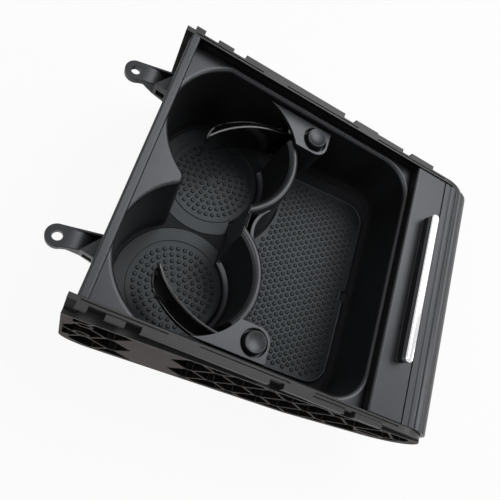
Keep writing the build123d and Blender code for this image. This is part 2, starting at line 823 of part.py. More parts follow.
# Right flap: tall curved skin with a channel behind its upper part, on a knuckle
tip_x = flap_pin_x - flap_length
tip_y = flap_tip_reach - pin_y
root_x = flap_pin_x - 5.0
root_y = 4.1 - pin_y
back_x = flap_pin_x - 7.7
back_y = -pin_y - 2.0
with BuildPart() as right_flap:
    with BuildSketch(Plane.XY.offset(-flap_bottom)) as blade:
        with BuildLine():
            ThreePointArc((tip_x, tip_y), (flap_pin_x - 31.5, 13.9 - pin_y), (root_x, root_y))
            Line((root_x, root_y), (back_x, back_y))
            ThreePointArc(
                (back_x, back_y),
                (flap_pin_x - 31.1, 4.7 - pin_y),
                (tip_x + 1.3, tip_y - flap_tip_width),
            )
            ThreePointArc(
                (tip_x + 1.3, tip_y - flap_tip_width),
                (tip_x - 0.8, tip_y - 0.62 * flap_tip_width),
                (tip_x, tip_y),
            )
        make_face()
    extrude(amount=flap_bottom - flap_top)
    chord = Vector(root_x - tip_x, root_y - tip_y).normalized()
    with BuildSketch(Plane.XY.offset(-flap_bottom)):
        with Locations((chord.Y * flap_skin, -chord.X * flap_skin)):
            add(blade.sketch)
    extrude(amount=flap_bottom - flap_floor, mode=Mode.SUBTRACT)
    with BuildSketch(Plane.XY.offset(flap_flange - flap_floor)):
        with Locations((chord.Y * flap_skin, -chord.X * flap_skin)):
            add(blade.sketch)
        with Locations((-chord.Y * flap_skin, chord.X * flap_skin)):
            add(blade.sketch, mode=Mode.INTERSECT)
    extrude(amount=flap_bottom - flap_top, mode=Mode.SUBTRACT)
    with BuildSketch(Plane.XY.offset(flap_lip - flap_floor)):
        with Locations((chord.Y * flap_skin, -chord.X * flap_skin)):
            add(blade.sketch)
    extrude(amount=flap_bottom - flap_top, mode=Mode.SUBTRACT)
    with BuildSketch(Plane.XY.offset(-flap_bottom)):
        with Locations((flap_pin_x, -pin_y)):
            Circle(flap_knuckle_radius)
        with BuildLine():
            Polyline(
                (root_x, root_y),
                (root_x - 2.0, root_y - 3.2),
                (flap_pin_x - 1.0, -pin_y - 2.6),
                (flap_pin_x + 1.4, 2.8 - pin_y),
                close=True,
            )
        make_face()
    extrude(amount=flap_bottom - flap_top)
    with Locations((flap_pin_x, -pin_y, -flap_bottom)):
        Cylinder(flap_pin_diameter / 2 + running_gap, 200, mode=Mode.SUBTRACT)
right_flap.part.label = "right_flap"
export_step(right_flap.part, "parts/right_flap.step")

with BuildPart() as left_flap:
    mirror(right_flap.part, about=Plane.XZ)
left_flap.part.label = "left_flap"
export_step(left_flap.part, "parts/left_flap.step")

# Hinge pins of the flaps
pin_top = track_z(flap_pin_x, -island_drop) - 1.6
with BuildPart() as right_flap_pin:
    with Locations((flap_pin_x, -pin_y, -flap_bottom - 3.4)):
        Cylinder(
            flap_pin_diameter / 2,
            pin_top + flap_bottom + 3.4,
            align=(Align.CENTER, Align.CENTER, Align.MIN),
        )
right_flap_pin.part.label = "right_flap_pin"
export_step(right_flap_pin.part, "parts/right_flap_pin.step")

with BuildPart() as left_flap_pin:
    mirror(right_flap_pin.part, about=Plane.XZ)
left_flap_pin.part.label = "left_flap_pin"
export_step(left_flap_pin.part, "parts/left_flap_pin.step")

# Torsion springs on the pins, above the knuckles
twist_radius = 2.2
twist_low = -flap_top + flap_wire / 2
with BuildPart() as right_flap_spring:
    with BuildLine():
        twist = Helix(pitch=1.1, height=3.85, radius=twist_radius, center=(flap_pin_x, -pin_y, twist_low))
    with BuildSketch(Plane(origin=twist @ 0, z_dir=twist % 0)):
        Circle(flap_wire / 2)
    sweep(path=twist, is_frenet=True)
right_flap_spring.part.label = "right_flap_spring"
export_step(right_flap_spring.part, "parts/right_flap_spring.step")

with BuildPart() as left_flap_spring:
    mirror(right_flap_spring.part, about=Plane.XZ)
left_flap_spring.part.label = "left_flap_spring"
export_step(left_flap_spring.part, "parts/left_flap_spring.step")

# Rubber mats in the wells
mat_floor = -tray_floor - mat_recess
with BuildPart() as right_cup_mat:
    with BuildSketch(Plane.XY.offset(mat_floor)):
        mirror(cup_mat_outline(0), about=Plane.XZ)
    extrude(amount=cup_mat_thickness)
    with BuildSketch(Plane.XY.offset(mat_floor + cup_mat_thickness)):
        with Locations((cup_x, -cup_y)):
            Circle(mat_ring_radius + mat_ring_width / 2)
            Circle(mat_ring_radius - mat_ring_width / 2, mode=Mode.SUBTRACT)
    extrude(amount=-0.5, mode=Mode.SUBTRACT)
right_cup_mat.part.label = "right_cup_mat"
export_step(right_cup_mat.part, "parts/right_cup_mat.step")

with BuildPart() as left_cup_mat:
    mirror(right_cup_mat.part, about=Plane.XZ)
left_cup_mat.part.label = "left_cup_mat"
export_step(left_cup_mat.part, "parts/left_cup_mat.step")

# Rubber mat of the bin, cut to clear the divider's foot
with BuildPart() as bin_mat:
    with BuildSketch(Plane.XY.offset(-tray_floor)) as mat:
        with Locations(((bin_mat_end + cup_x) / 2, 0)):
            RectangleRounded(bin_mat_end - cup_x, 2 * bin_mat_half, bin_mat_corner)
        with Locations((cup_x, cup_y), (cup_x, -cup_y)):
            Circle(divider_base_radius + 1.5, mode=Mode.SUBTRACT)
        Rectangle(2 * bridge_x + 2 * divider_wall + 2, 4 * bridge_y, mode=Mode.SUBTRACT)
        with Locations((bin_mat_end, mat_notch_y)):
            RectangleRounded(2 * mat_notch_depth, mat_notch, 1.0, mode=Mode.SUBTRACT)
    extrude(amount=bin_mat_thickness)
bin_mat.part.label = "bin_mat"
export_step(bin_mat.part, "parts/bin_mat.step")

# Leading panel of the shutter with its grip fin
panel_half = half_inner - panel_gap
groove_reach = half_inner + groove_depth - 0.4
with BuildPart() as shutter_panel:
    with BuildSketch(Plane.XZ):
        with BuildLine():
            Polyline(
                on_track(lead_run, -panel_drop),
                on_track(lead_run + panel_length, -panel_drop),
                on_track(lead_run + panel_length, -panel_drop - panel_thickness),
                on_track(lead_run + 3.0, -panel_drop - panel_thickness),
                on_track(lead_run + 2.4, -panel_drop - panel_thickness - 1.2),
                on_track(lead_run, -panel_drop - panel_thickness - 1.2),
                close=True,
            )
        make_face()
    extrude(amount=panel_half, both=True)
    lead_edge = shutter_panel.edges().filter_by(Axis.Y).sort_by(Axis.Z)[-1]
    fillet(lead_edge, radius=1.6)
    with BuildSketch(Plane.XZ):
        with BuildLine():
            Polyline(
                on_track(lead_run + 1.0, -tongue_drop),
                on_track(lead_run + panel_length, -tongue_drop),
                on_track(lead_run + panel_length, -tongue_drop - tongue_thickness),
                on_track(lead_run + 1.0, -tongue_drop - tongue_thickness),
                close=True,
            )
        make_face()
    extrude(amount=groove_reach, both=True)
    with BuildSketch(track.offset(-panel_drop - 0.2)):
        with Locations((lead_run + grip_setback, 0)):
            RectangleRounded(grip_width, grip_length, grip_width / 2 - 0.05)
    extrude(amount=grip_rise + 0.2)
shutter_panel.part.label = "shutter_panel"
export_step(shutter_panel.part, "parts/shutter_panel.step")

# Bright trim on top of the fin
with BuildPart() as grip_trim:
    with BuildSketch(track.offset(grip_rise - panel_drop)):
        with Locations((lead_run + grip_setback, 0)):
            RectangleRounded(grip_width + 0.4, grip_length + 0.4, grip_width / 2 + 0.1)
    extrude(amount=trim_height)
    fillet(grip_trim.faces().sort_by(Axis((0, 0, 0), (sin(tilt), 0, cos(tilt))))[-1].edges(), radius=1.6)
grip_trim.part.label = "grip_trim"
export_step(grip_trim.part, "parts/grip_trim.step")

# Ribbed curtain behind the panel, round the nose and back under the tray
curtain_start = lead_run + panel_length + 0.5
curtain_line = curtain_cover + curtain_thickness / 2
with BuildPart() as shutter_curtain:
    with BuildSketch(Plane.XZ):
        path = shutter_path(curtain_line, curtain_start, curtain_run)
        trace(path, line_width=curtain_thickness)
    extrude(amount=groove_reach, both=True)
    with BuildSketch(Plane.XZ):
        count = int(path.length / slat_pitch)
        for index in range(1, count):
            spot = path.position_at(index * slat_pitch / path.length)
            turn = path.tangent_at(index * slat_pitch / path.length)
            place = spot + Vector(-turn.Y, turn.X) * curtain_thickness / 2
            with Locations((place.X, place.Y)):
                Rectangle(slat_groove, 2 * slat_groove_depth, rotation=degrees(atan2(turn.Y, turn.X)))
    extrude(amount=groove_reach + 1, both=True, mode=Mode.SUBTRACT)
shutter_curtain.part.label = "shutter_curtain"
export_step(shutter_curtain.part, "parts/shutter_curtain.step")
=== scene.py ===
"""Looks of a car cup holder with a roller shutter: finishes, moulded detail, studio and camera."""

import logging
from dataclasses import dataclass, field, replace
from enum import Enum
from math import cos, hypot, pi, radians, sin, tan
from typing import Sequence, Union

import bmesh
import bpy
from mathutils import Matrix, Vector


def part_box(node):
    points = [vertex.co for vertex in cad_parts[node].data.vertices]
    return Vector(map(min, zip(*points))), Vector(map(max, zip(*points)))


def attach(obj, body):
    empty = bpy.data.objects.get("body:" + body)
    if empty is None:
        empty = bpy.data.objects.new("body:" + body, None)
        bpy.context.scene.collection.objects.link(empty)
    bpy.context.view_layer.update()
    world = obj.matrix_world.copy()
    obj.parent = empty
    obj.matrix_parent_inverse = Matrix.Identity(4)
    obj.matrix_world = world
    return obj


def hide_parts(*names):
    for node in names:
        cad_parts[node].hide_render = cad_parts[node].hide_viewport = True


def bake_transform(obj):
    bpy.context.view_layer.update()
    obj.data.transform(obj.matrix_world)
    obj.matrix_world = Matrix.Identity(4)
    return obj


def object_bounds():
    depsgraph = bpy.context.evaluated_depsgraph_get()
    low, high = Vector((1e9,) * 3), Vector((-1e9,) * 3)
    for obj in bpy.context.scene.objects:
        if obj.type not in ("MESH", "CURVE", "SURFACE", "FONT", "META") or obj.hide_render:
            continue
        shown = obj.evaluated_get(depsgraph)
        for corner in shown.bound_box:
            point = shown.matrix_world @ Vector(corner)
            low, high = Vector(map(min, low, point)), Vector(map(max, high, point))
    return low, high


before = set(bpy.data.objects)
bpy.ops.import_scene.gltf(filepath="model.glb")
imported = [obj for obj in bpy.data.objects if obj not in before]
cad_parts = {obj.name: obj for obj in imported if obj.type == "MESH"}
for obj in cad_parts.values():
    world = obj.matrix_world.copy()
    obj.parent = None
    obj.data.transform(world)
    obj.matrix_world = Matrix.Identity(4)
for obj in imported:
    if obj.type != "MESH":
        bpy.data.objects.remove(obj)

log = logging.getLogger("cup_holder")
MM = 0.001
Number = Union[int, float]
Colour = tuple[float, float, float]
Flat = tuple[float, float]
Triple = tuple[float, float, float]
Arc = tuple[Flat, Flat, Flat]
Inputs = dict[Union[str, int], object]
Rows = Sequence[Sequence[bmesh.types.BMVert]]
CAD_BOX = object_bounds()

# Values that several classes share: the sign of y on each side, radians, millimetres, shares of roughness
SIDES = {"left": 1, "right": -1}
TRACK_TILT = radians(6.0)
LIP_RISE = 18.4
CUP_X = 67.7
CUP_Y = 38.8
CLOUD_MM = 7.0
CLOUD_SWING = 0.10
GRAIN_SWING = 0.06


class Slot(Enum):
    """Material slots of the record."""

    SATIN = "satin_plastic"
    GLOSS = "gloss_plastic"
    RUBBER = "rubber_mat"
    STEEL = "spring_steel"


class Body(Enum):
    """Bodies of the frame that pieces ride on."""

    HOUSING = "housing"
    SHUTTER = "shutter"
    LEFT_GRIP = "left_grip"
    RIGHT_GRIP = "right_grip"
    LEFT_BUTTON = "left_button"
    RIGHT_BUTTON = "right_button"


class Smooth(Enum):
    """Angles in degrees above which an edge of an added piece stays sharp."""

    RIBBED = 20.0
    PLAIN = 40.0
    ROUND = 60.0


class Reading:
    """A number read from a socket, with operators that add Math nodes."""

    def __init__(self, sheet: "NodeSheet", socket: bpy.types.NodeSocket) -> None:
        """Keeps the sheet that the socket belongs to."""
        self.sheet = sheet
        self.socket = socket

    def _join(self, operation: str, first: "Reading | Number", second: "Reading | Number") -> "Reading":
        """Adds a Math node of two values and reads its result."""
        node = self.sheet.node("ShaderNodeMath", {"operation": operation}, {0: first, 1: second})
        return Reading(self.sheet, node.outputs[0])

    def __add__(self, other: "Reading | Number") -> "Reading":
        """Sum."""
        return self._join("ADD", self, other)

    def __radd__(self, other: Number) -> "Reading":
        """Sum with a number first."""
        return self._join("ADD", other, self)

    def __sub__(self, other: "Reading | Number") -> "Reading":
        """Difference."""
        return self._join("SUBTRACT", self, other)

    def __rsub__(self, other: Number) -> "Reading":
        """Difference with a number first."""
        return self._join("SUBTRACT", other, self)

    def __mul__(self, other: "Reading | Number") -> "Reading":
        """Product."""
        return self._join("MULTIPLY", self, other)

    def __rmul__(self, other: Number) -> "Reading":
        """Product with a number first."""
        return self._join("MULTIPLY", other, self)

    def __gt__(self, other: "Reading | Number") -> "Reading":
        """One where this is greater, else nought."""
        return self._join("GREATER_THAN", self, other)

    def __lt__(self, other: "Reading | Number") -> "Reading":
        """One where this is less, else nought."""
        return self._join("LESS_THAN", self, other)

    def most(self, other: "Reading | Number") -> "Reading":
        """The greater of the two."""
        return self._join("MAXIMUM", self, other)

    def wave(self, period_mm: float) -> "Reading":
        """Smooth wave along a length.

        Args:
            period_mm: Length of one wave.

        Returns:
            The wave, nought to one.
        """
        turn = self * (2 * pi / (period_mm * MM))
        node = self.sheet.node("ShaderNodeMath", {"operation": "SINE"}, {0: turn})
        return Reading(self.sheet, node.outputs[0]) * 0.5 + 0.5

    def ramp(self, low: float, high: float, start: float = 0.0, end: float = 1.0) -> "Reading":
        """Smooth step between two values.

        Args:
            low: Value at which the step begins.
            high: Value at which it ends.
            start: Result at low.
            end: Result at high.

        Returns:
            The stepped number.
        """
        node = self.sheet.node(
            "ShaderNodeMapRange",
            {"interpolation_type": "SMOOTHSTEP"},
            {"Value": self, "From Min": low, "From Max": high, "To Min": start, "To Max": end},
        )
        return Reading(self.sheet, node.outputs["Result"])


class NodeSheet:
    """Node tree of a material or of the world."""

    def __init__(self, tree: bpy.types.NodeTree) -> None:
        """Empties the tree that the nodes go into."""
        self.tree = tree
        self.tree.nodes.clear()

    def feed(self, node: bpy.types.Node, inputs: Inputs) -> None:
        """Sets or links sockets of a node.

        Args:
            node: The node to feed.
            inputs: Values, readings or sockets by input name or number.
        """
        for key, value in inputs.items():
            target = node.inputs[key]
            if isinstance(value, Reading):
                self.tree.links.new(value.socket, target)
            elif isinstance(value, bpy.types.NodeSocket):
                self.tree.links.new(value, target)
            else:
                target.default_value = value

    def node(self, kind: str, settings: dict | None = None, inputs: Inputs | None = None) -> bpy.types.Node:
        """Adds a node.

        Args:
            kind: Blender's type name.
            settings: Properties to set first.
            inputs: Values, readings or sockets by input name or number.

        Returns:
            The new node.
        """
        node = self.tree.nodes.new(kind)
        for key, value in (settings or {}).items():
            setattr(node, key, value)
        self.feed(node, inputs or {})
        return node

    def read(
        self, kind: str, output: str, settings: dict | None = None, inputs: Inputs | None = None
    ) -> Reading:
        """Adds a node and reads one of its outputs as a number."""
        return Reading(self, self.node(kind, settings, inputs).outputs[output])

    def seen(self) -> Reading:
        """Which rays see the white background.

        Returns:
            One for a ray of the camera, a reflection or a transmission, else nought.
        """
        rays = ("Is Camera Ray", "Is Glossy Ray", "Is Transmission Ray")
        camera, glossy, through = (self.read("ShaderNodeLightPath", ray) for ray in rays)
        return camera.most(glossy).most(through)


class FinishSheet(NodeSheet):
    """Node tree of one material, ending in a Principled shader."""

    def __init__(self, name: str) -> None:
        """Starts an empty tree with its shader and output.

        Args:
            name: Name of the material.
        """
        self.material = bpy.data.materials.new(name)
        self.material.use_nodes = True
        super().__init__(self.material.node_tree)
        self.shader = self.node("ShaderNodeBsdfPrincipled")
        self.output = self.node("ShaderNodeOutputMaterial", None, {"Surface": self.shader.outputs["BSDF"]})

    def place(self) -> bpy.types.NodeSocket:
        """Object coordinates, in metres."""
        return self.node("ShaderNodeTexCoord").outputs["Object"]

    def axes(self) -> tuple[Reading, Reading, Reading]:
        """Object coordinates one by one: x, y and z, in metres."""
        split = self.node("ShaderNodeSeparateXYZ", None, {"Vector": self.place()})
        return tuple(Reading(self, split.outputs[name]) for name in "XYZ")

    def noise(self, size_mm: float, detail: float = 2.0, rough: float = 0.5) -> Reading:
        """Noise about 0.5: the size of its blobs, its octaves and the strength of the finer ones."""
        inputs = {"Vector": self.place(), "Scale": 1.0 / (size_mm * MM), "Detail": detail, "Roughness": rough}
        return self.read("ShaderNodeTexNoise", "Fac", {"noise_dimensions": "3D"}, inputs)

    def cloud(self, size_mm: float) -> Reading:
        """Blotchy noise with blobs of a given size."""
        return self.noise(size_mm, 4.0, 0.6)

    def grain(self, size_mm: float) -> Reading:
        """Noise of a moulding's fine grain."""
        return self.noise(size_mm, 2.0, 0.55)

    def cells(self, size_mm: float) -> Reading:
        """Distance to the nearest point of a cell pattern, in cells of a given size."""
        inputs = {"Vector": self.place(), "Scale": 1.0 / (size_mm * MM)}
        return self.read("ShaderNodeTexVoronoi", "Distance", {"feature": "F1"}, inputs)

    def blend(self, first: object, second: object, factor: Reading) -> bpy.types.NodeSocket:
        """Mixes two colours.

        Args:
            first: Colour or socket at factor nought.
            second: Colour or socket at factor one.
            factor: The mix.

        Returns:
            The mixed colour.
        """
        first = (*first, 1.0) if isinstance(first, tuple) else first
        second = (*second, 1.0) if isinstance(second, tuple) else second
        return self.node("ShaderNodeMix", {"data_type": "RGBA"}, {0: factor, 6: first, 7: second}).outputs[2]

    def mottle(self, level: Reading | float, cloud: Reading, grain: Reading) -> Reading:
        """Roughness that wanders a little about a level, with a moulding's cloud and grain."""
        return level + (cloud - 0.5) * CLOUD_SWING + (grain - 0.5) * GRAIN_SWING

    def soft_edges(self, radius_mm: float) -> bpy.types.NodeSocket:
        """Normal that rounds off sharp edges to a given radius."""
        return self.node("ShaderNodeBevel", {"samples": 6}, {"Radius": radius_mm * MM}).outputs["Normal"]

    def bump(
        self, height: Reading, depth_mm: float, strength: float, normal: bpy.types.NodeSocket
    ) -> bpy.types.NodeSocket:
        """Normal bumped by a height of nought to one, on top of another normal."""
        inputs = {"Height": height, "Distance": depth_mm * MM, "Strength": strength, "Normal": normal}
        return self.node("ShaderNodeBump", None, inputs).outputs["Normal"]

    def finish(self, inputs: Inputs) -> bpy.types.Material:
        """Feeds the shader and gives the finished material."""
        self.feed(self.shader, inputs)
        return self.material


def scaled(colour: Colour, factor: float) -> Colour:
    """A colour with each part multiplied by a factor."""
    return tuple(part * factor for part in colour)


@dataclass(frozen=True)
class Ridges:
    """Patch of fine upright ridges on a face that looks to the front."""

    front_mm: float
    half_mm: float
    pitch_mm: float
    depth_mm: float

    def height(self, sheet: FinishSheet) -> Reading:
        """Height of the ridges.

        Args:
            sheet: Sheet of the material.

        Returns:
            The height, nought to one on the patch and nought elsewhere.
        """
        x, y, _ = sheet.axes()
        half = self.half_mm * MM
        return y.wave(self.pitch_mm) * ((x < self.front_mm * MM) * (y < half) * (y > -half))


@dataclass(frozen=True)
class Dull:
    """Depths between which a moulding turns dull."""

    high_mm: float
    low_mm: float
    roughness: float


@dataclass(frozen=True)
class MouldedPlastic:
    """Grained injection-moulded plastic."""

    name: str
    colour: Colour
    pale: Colour
    roughness: float
    grain_mm: float
    grain_depth_mm: float
    grain_strength: float
    edge_mm: float
    broad_mm: float = 38.0
    pore_share: float = 1.6
    # How many times paler the painted highlight on the ridge crests is.
    crest_highlight_gain: float = 4.0
    tint: Colour = (1.0, 1.0, 1.0)
    ridges: Ridges | None = None
    dull: Dull | None = None

    def build(self) -> bpy.types.Material:
        """Builds the material.

        Returns:
            The material.
        """
        sheet = FinishSheet(self.name)
        broad = sheet.noise(self.broad_mm, 3.0)
        cloud = sheet.cloud(CLOUD_MM)
        grain = sheet.grain(self.grain_mm)
        pores = sheet.cells(self.grain_mm * self.pore_share)
        wear = (broad * 0.6 + cloud * 0.4).ramp(0.42, 0.68)
        colour = sheet.blend(self.colour, self.pale, wear)
        rough = sheet.mottle(self.roughness, cloud, grain)
        if self.dull is not None:
            depth = sheet.axes()[2].ramp(self.dull.low_mm * MM, self.dull.high_mm * MM, 1.0, 0.0)
            rough = rough + depth * (self.dull.roughness - self.roughness)
        height = grain * 0.6 + pores * 0.4
        soft = sheet.soft_edges(self.edge_mm)
        normal = sheet.bump(height, self.grain_depth_mm, self.grain_strength, soft)
        if self.ridges is not None:
            crest = self.ridges.height(sheet)
            normal = sheet.bump(crest, self.ridges.depth_mm, 1.0, normal)
            # Painted highlight: the ridge crests are lightened as if they caught the light.
            colour = sheet.blend(colour, scaled(self.pale, self.crest_highlight_gain), crest)
        return sheet.finish(
            {
                "Base Color": colour,
                "Roughness": rough,
                "Normal": normal,
                "IOR": 1.5,
                "Specular Tint": (*self.tint, 1.0),
            }
        )


@dataclass(frozen=True)
class CheekPlastic:
    """Plain moulding of the cheeks: sheen on the rail, dull pockets, a painted highlight along the rib edges
    and a painted brownish reflection on the outer faces.
    """

    name: str
    colour: Colour
    # Colour of the painted brownish reflection on the outer faces.
    patch: Colour
    # Colour of the painted highlight along the rib edges.
    edge: Colour
    rail_mm: float
    face_mm: float
    blur_mm: float = 1.0
    grain_mm: float = 0.6
    grain_depth_mm: float = 0.05
    grain_strength: float = 0.2
    edge_mm: float = 0.5
    roughness: float = 0.42
    patch_dullness: float = 0.2
    rail_sheen: float = 0.6
    side_loss: float = 0.45
    patch_sheen: float = 0.05

    def build(self) -> bpy.types.Material:
        """Builds the material.

        Returns:
            The material.
        """
        sheet = FinishSheet(self.name)
        x, y, z = sheet.axes()
        below = (LIP_RISE * MM - x * tan(TRACK_TILT)) - z
        lattice = below.ramp((self.rail_mm - self.blur_mm) * MM, (self.rail_mm + self.blur_mm) * MM)
        normal = sheet.node("ShaderNodeNewGeometry").outputs["Normal"]
        facing = sheet.read("ShaderNodeSeparateXYZ", "Y", None, {"Vector": normal})
        sideways = (facing * facing).ramp(0.5, 0.85)
        reach = y.most(y * -1.0)
        outside = sideways * reach.ramp((self.face_mm - self.blur_mm / 2) * MM, self.face_mm * MM)
        soft = sheet.soft_edges(self.edge_mm)
        turned = sheet.read(
            "ShaderNodeVectorMath", "Value", {"operation": "DOT_PRODUCT"}, {0: soft, 1: normal}
        )
        # Painted highlight: the rib edges of the lattice are lightened towards a pale tan, as if they caught
        # the light.
        painted_edge_highlight = (1.0 - turned).ramp(0.02, 0.16) * lattice
        cloud = sheet.cloud(CLOUD_MM)
        grain = sheet.grain(self.grain_mm)
        plain = sheet.blend(self.colour, scaled(self.colour, 1.5), cloud.ramp(0.42, 0.66))
        # Painted reflection: the outer faces of the lattice take a brownish colour that stands in for a
        # reflection of the floor.
        with_painted_reflection = sheet.blend(plain, self.patch, outside * lattice * (0.75 + cloud * 0.5))
        colour = sheet.blend(with_painted_reflection, self.edge, painted_edge_highlight * (0.5 + cloud * 0.6))
        rail = (self.rail_sheen - sideways * self.side_loss) * (1.0 - lattice)
        level = self.roughness + outside * lattice * self.patch_dullness
        return sheet.finish(
            {
                "Base Color": colour,
                "Roughness": sheet.mottle(level, cloud, grain),
                "Normal": sheet.bump(grain, self.grain_depth_mm, self.grain_strength, soft),
                "IOR": 1.15,
                "Coat Weight": rail + outside * lattice * self.patch_sheen,
                "Coat Roughness": self.roughness,
                "Coat IOR": 1.5,
            }
        )


@dataclass(frozen=True)
class MouldedRubber:
    """Matt rubber with a fine pebble, and duller roots round its studs darkened by painted shade."""

    name: str
    colour: Colour
    # Colour of the painted shade at the feet of the studs.
    root_shade: Colour
    roughness: float
    root_roughness: float = 0.95
    pebble_mm: float = 0.55
    pebble_depth_mm: float = 0.10
    pebble_strength: float = 0.30
    dust_mm: float = 11.0
    edge_mm: float = 0.35
    ior: float = 1.45
    tint: Colour = (0.86, 0.94, 1.0)

    def build(self) -> bpy.types.Material:
        """Builds the material.

        Returns:
            The material.
        """
        sheet = FinishSheet(self.name)
        pebble = sheet.cells(self.pebble_mm)
        dust = sheet.cloud(self.dust_mm)
        fine = sheet.noise(self.pebble_mm / 2, 2.0)
        # Painted shade: a vertex attribute darkens the feet of the studs and the edges of the bead, where
        # shade would fall.
        shade = sheet.read("ShaderNodeAttribute", "Fac", {"attribute_name": "root_shade"})
        top = sheet.blend(self.colour, scaled(self.colour, 1.35), dust.ramp(0.40, 0.70))
        height = pebble * 0.7 + fine * 0.3
        soft = sheet.soft_edges(self.edge_mm)
        rough = self.roughness + (dust - 0.5) * 0.12 + shade * (self.root_roughness - self.roughness)
        return sheet.finish(
            {
                "Base Color": sheet.blend(top, self.root_shade, shade),
                "Roughness": rough,
                "Normal": sheet.bump(height, self.pebble_depth_mm, self.pebble_strength, soft),
                "IOR": self.ior,
                "Specular Tint": (*self.tint, 1.0),
            }
        )


@dataclass(frozen=True)
class PlatedTrim:
    """Bright plated trim with a faint haze."""

    name: str
    colour: Colour
    roughness: float
    haze_mm: float = 9.0
    haze_depth_mm: float = 0.02
    haze_strength: float = 0.06
    speck_mm: float = 0.5
    edge_mm: float = 0.4

    def build(self) -> bpy.types.Material:
        """Builds the material.

        Returns:
            The material.
        """
        sheet = FinishSheet(self.name)
        haze = sheet.cloud(self.haze_mm)
        specks = sheet.noise(self.speck_mm, 2.0)
        colour = sheet.blend(self.colour, scaled(self.colour, 0.93), haze)
        rough = self.roughness + haze * 0.05 + specks * 0.03
        normal = sheet.bump(haze, self.haze_depth_mm, self.haze_strength, sheet.soft_edges(self.edge_mm))
        return sheet.finish({"Base Color": colour, "Roughness": rough, "Metallic": 1.0, "Normal": normal})


@dataclass(frozen=True)
class DrawnWire:
    """Drawn spring steel and screw steel."""

    name: str
    colour: Colour
    roughness: float
    line_mm: float = 0.35
    line_depth_mm: float = 0.03
    line_strength: float = 0.2
    stain_mm: float = 4.0
    edge_mm: float = 0.15

    def build(self) -> bpy.types.Material:
        """Builds the material.

        Returns:
            The material.
        """
        sheet = FinishSheet(self.name)
        lines = sheet.noise(self.line_mm, 3.0)
        stain = sheet.noise(self.stain_mm, 4.0)
        colour = sheet.blend(self.colour, scaled(self.colour, 0.6), stain.ramp(0.45, 0.75))
        rough = self.roughness + lines * 0.15
        normal = sheet.bump(lines, self.line_depth_mm, self.line_strength, sheet.soft_edges(self.edge_mm))
        return sheet.finish({"Base Color": colour, "Roughness": rough, "Metallic": 1.0, "Normal": normal})


@dataclass
class Finishes:
    """All the materials of the holder."""

    satin: bpy.types.Material = field(init=False)
    deep: bpy.types.Material = field(init=False)
    ridged: bpy.types.Material = field(init=False)
    track: bpy.types.Material = field(init=False)
    gloss: bpy.types.Material = field(init=False)
    rubber: bpy.types.Material = field(init=False)
    bin_rubber: bpy.types.Material = field(init=False)
    bright: bpy.types.Material = field(init=False)
    steel: bpy.types.Material = field(init=False)

    def __post_init__(self) -> None:
        """Builds each finish once."""
        moulding = MouldedPlastic(
            name="satin_moulding",
            colour=(0.0065, 0.0067, 0.0073),
            pale=(0.0095, 0.0098, 0.0106),
            roughness=0.38,
            grain_mm=0.45,
            grain_depth_mm=0.05,
            grain_strength=0.20,
            edge_mm=0.7,
            tint=(0.90, 0.92, 1.0),
        )
        floors = Dull(high_mm=-44.0, low_mm=-54.0, roughness=0.85)
        pillar = Ridges(front_mm=88.4, half_mm=14.2, pitch_mm=1.3, depth_mm=0.35)
        insert = replace(moulding, name="insert_moulding", roughness=0.36, grain_strength=0.18, edge_mm=0.6)
        self.satin = moulding.build()
        self.deep = replace(moulding, name="tray_moulding", dull=floors).build()
        self.ridged = replace(insert, ridges=pillar).build()
        self.track = CheekPlastic(
            name="cheek_moulding",
            colour=(0.0050, 0.0048, 0.0048),
            # Brownish colour of the painted reflection on the outer faces.
            patch=(0.052, 0.038, 0.034),
            # Pale tan of the painted highlight on the rib edges.
            edge=(0.34, 0.32, 0.295),
            rail_mm=12.0,
            face_mm=82.0,
        ).build()
        self.gloss = MouldedPlastic(
            name="gloss_moulding",
            colour=(0.0035, 0.0035, 0.0038),
            pale=(0.0055, 0.0055, 0.0060),
            roughness=0.14,
            grain_mm=0.9,
            grain_depth_mm=0.03,
            grain_strength=0.05,
            edge_mm=0.5,
        ).build()
        self.rubber = MouldedRubber(
            name="mat_rubber", colour=(0.0095, 0.0100, 0.0106), root_shade=(0.0030, 0.0030, 0.0033), roughness=0.44
        ).build()
        self.bin_rubber = MouldedRubber(
            name="bin_rubber",
            colour=(0.0065, 0.0072, 0.0080),
            root_shade=(0.0020, 0.0021, 0.0024),
            roughness=0.42,
            ior=1.36,
        ).build()
        self.bright = PlatedTrim(name="plated_trim", colour=(0.90, 0.90, 0.92), roughness=0.04).build()
        self.steel = DrawnWire(name="drawn_steel", colour=(0.16, 0.16, 0.17), roughness=0.34).build()


class Bench:
    """Puts finished meshes into the scene."""

    def __init__(self, finishes: Finishes) -> None:
        """Keeps the finishes that pieces are dressed in."""
        self.finishes = finishes

    def dress(self, node: str, finish: bpy.types.Material) -> None:
        """Gives a carried-over node its finish.

        Args:
            node: Name of the node.
            finish: Its material.
        """
        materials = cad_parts[node].data.materials
        materials.clear()
        materials.append(finish)
        log.info("dressed %s", node)

    def add(
        self,
        name: str,
        mesh: bmesh.types.BMesh,
        finish: bpy.types.Material,
        slot: Slot,
        smooth: Smooth = Smooth.PLAIN,
        closed: bool = False,
    ) -> bpy.types.Object:
        """Turns a mesh into a piece.

        Args:
            name: Name of the piece.
            mesh: Its geometry, in metres; it is freed.
            finish: Its material.
            slot: The record's slot; not used.
            smooth: Which of its edges stay sharp.
            closed: Whether its faces can be turned outwards.

        Returns:
            The new object.
        """
        if closed:
            bmesh.ops.recalc_face_normals(mesh, faces=mesh.faces)
        data = bpy.data.meshes.new(name)
        mesh.to_mesh(data)
        mesh.free()
        for polygon in data.polygons:
            polygon.use_smooth = True
        data.set_sharp_from_angle(angle=radians(smooth.value))
        data.materials.append(finish)
        piece = bpy.data.objects.new(name, data)
        bpy.context.scene.collection.objects.link(piece)
        log.info("built %s with %d faces", name, len(data.polygons))
        return piece


